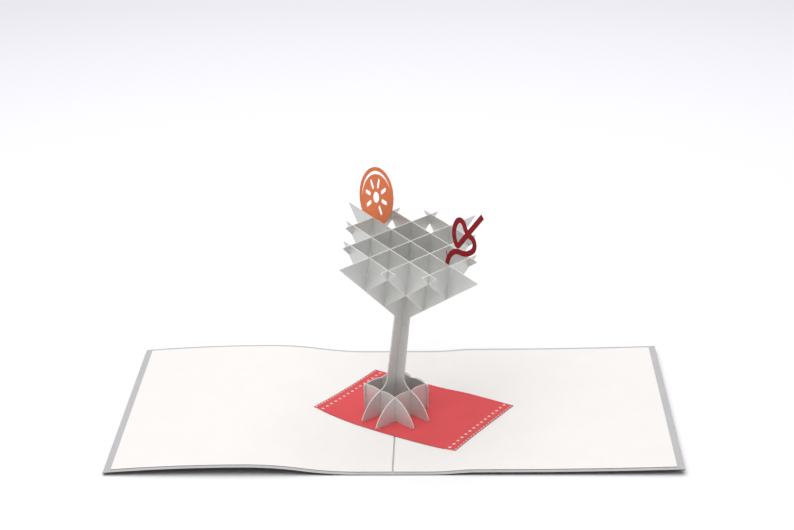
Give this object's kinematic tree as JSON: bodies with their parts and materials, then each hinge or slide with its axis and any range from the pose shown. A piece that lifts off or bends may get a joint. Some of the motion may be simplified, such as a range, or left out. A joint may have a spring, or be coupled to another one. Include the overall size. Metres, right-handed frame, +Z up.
{
  "type": "pop up card",
  "caption": "Open pop up card: a cocktail glass of slotted card slices with an orange slice and straw stands on a red mat over the fold.",
  "frame": {"origin": "middle of the fold, on the surface that the open card rests on", "axes": "+Z up, +Y along the fold away from the viewer, +X to the right across the two leaves"},
  "size_m": [0.3, 0.15, 0.1318],
  "materials": {
    "cover_card": "matt grey card",
    "white_paper": "matt warm white paper",
    "red_paper": "matt red paper",
    "silver_card": "satin pearl grey card",
    "orange_paper": "matt orange paper",
    "burgundy_paper": "matt dark red paper"
  },
  "bodies": {
    "root": {"outer_cover": "cover_card", "inner_panel_left": "white_paper", "inner_panel_right": "white_paper", "red_mat": "red_paper", "glass_slice_a": "silver_card", "glass_slice_b": "silver_card", "bowl_slice_a1": "silver_card", "bowl_slice_a2": "silver_card", "bowl_slice_a3": "silver_card", "bowl_slice_a4": "silver_card", "bowl_slice_b1": "silver_card", "bowl_slice_b2": "silver_card", "bowl_slice_b3": "silver_card", "bowl_slice_b4": "silver_card", "foot_slice_a1": "silver_card", "foot_slice_a2": "silver_card", "foot_slice_b1": "silver_card", "foot_slice_b2": "silver_card", "orange_slice": "orange_paper", "curly_straw": "burgundy_paper"}
  },
  "joints": []
}
